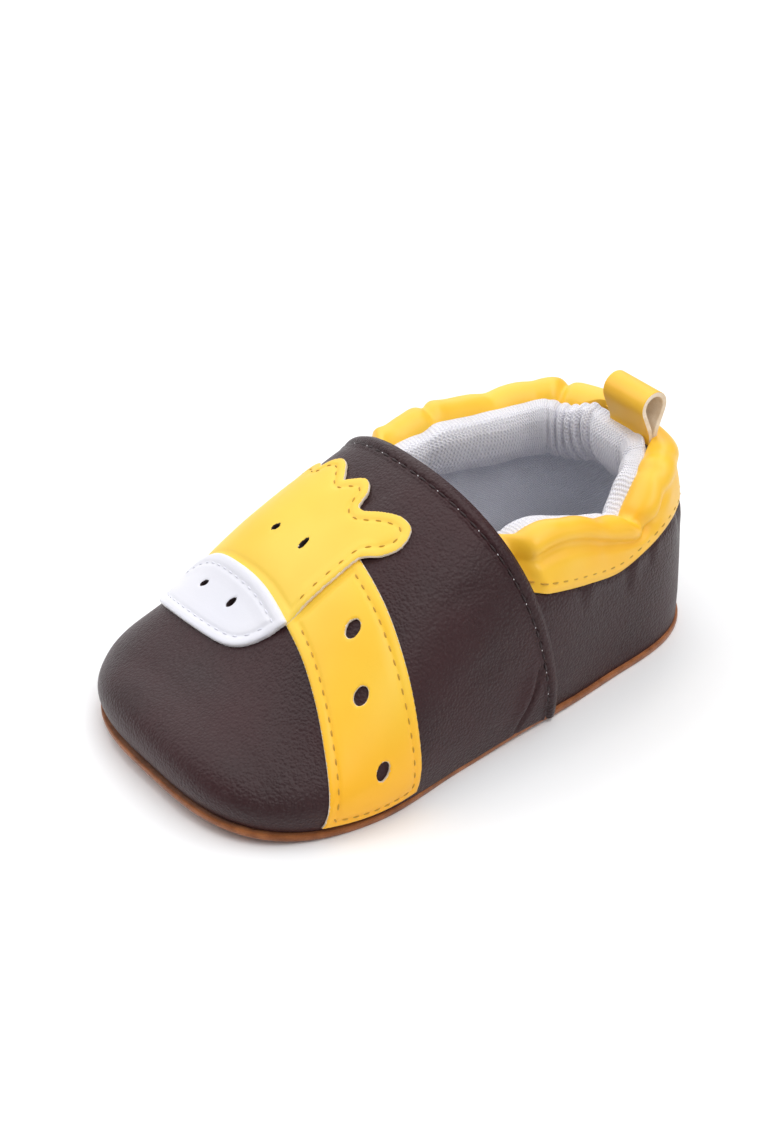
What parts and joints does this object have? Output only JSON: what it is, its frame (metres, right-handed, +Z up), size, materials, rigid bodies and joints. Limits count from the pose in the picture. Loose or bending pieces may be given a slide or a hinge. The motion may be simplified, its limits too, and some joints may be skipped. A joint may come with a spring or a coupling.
{
  "type": "baby slip-on bootie",
  "caption": "Soft-soled left bootie for a baby: brown leather vamp lapped over the heel quarter, yellow elastic collar with padded lining, pull loop and a flat giraffe sewn on the vamp.",
  "frame": {"origin": "middle of the shoe's footprint, on the ground under the sole", "axes": "+Y towards the heel, -Y towards the toe, +X towards the wearer's left, +Z up"},
  "size_m": [0.0725, 0.1202, 0.05],
  "materials": {
    "tan_suede": "matt suede with a short nap",
    "white_insole": "soft cotton cloth",
    "brown_leather": "fine grained, satin",
    "yellow_leather": "smooth, satin",
    "white_lining": "soft ribbed cloth over padding",
    "yellow_loop": "smooth, satin",
    "giraffe_yellow": "smooth, satin",
    "giraffe_white": "smooth, satin"
  },
  "bodies": {
    "root": {"outsole": "tan_suede", "insole": "white_insole", "upper": "brown_leather", "collar": "yellow_leather", "collar_lining": "white_lining", "pull_loop": "yellow_loop", "giraffe_head": "giraffe_yellow", "giraffe_muzzle": "giraffe_white", "giraffe_neck": "giraffe_yellow"}
  },
  "joints": []
}
